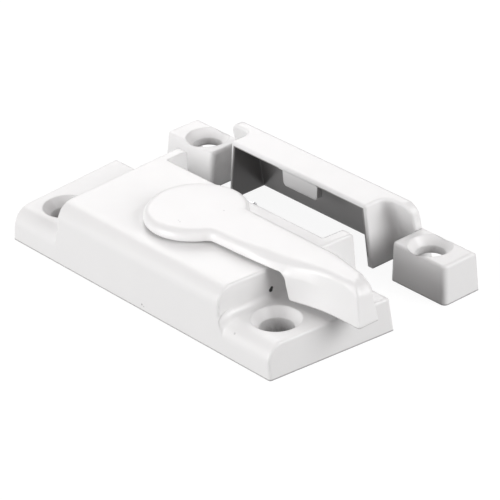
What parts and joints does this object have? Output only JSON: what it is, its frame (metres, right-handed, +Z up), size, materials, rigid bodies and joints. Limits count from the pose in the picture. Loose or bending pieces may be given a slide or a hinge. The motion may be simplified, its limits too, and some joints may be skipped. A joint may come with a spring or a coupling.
{
  "type": "sliding window lock",
  "caption": "Cam-action sash lock for sliding windows: a hollow die-cast housing with a swinging lever, and the keeper its cam draws in.",
  "frame": {"origin": "midway between the housing's two screw holes, on the plane both castings stand on", "axes": "+X along the meeting rail, towards the lever's tip; +Y from the room towards the keeper; +Z up, away from the rail"},
  "size_m": [0.0807, 0.0476, 0.0145],
  "materials": {
    "paint": "semi-gloss white paint over die-cast zinc",
    "lever_paint": "semi-gloss white paint over die-cast zinc",
    "zinc_plate": "zinc plated",
    "spring_steel": "plain spring steel",
    "keeper_paint": "semi-gloss white paint over die-cast zinc"
  },
  "bodies": {
    "frame": {"housing": "paint", "keeper": "keeper_paint"},
    "lever": {"lever": "lever_paint", "cam": "zinc_plate", "spring_washer": "spring_steel"}
  },
  "joints": [
    {"name": "lever_turn", "type": "hinge", "parent": "frame", "child": "lever", "pos_m": [0, 0.007, 0], "axis": [0, 0, 1], "range_deg": [-135, 0]}
  ]
}
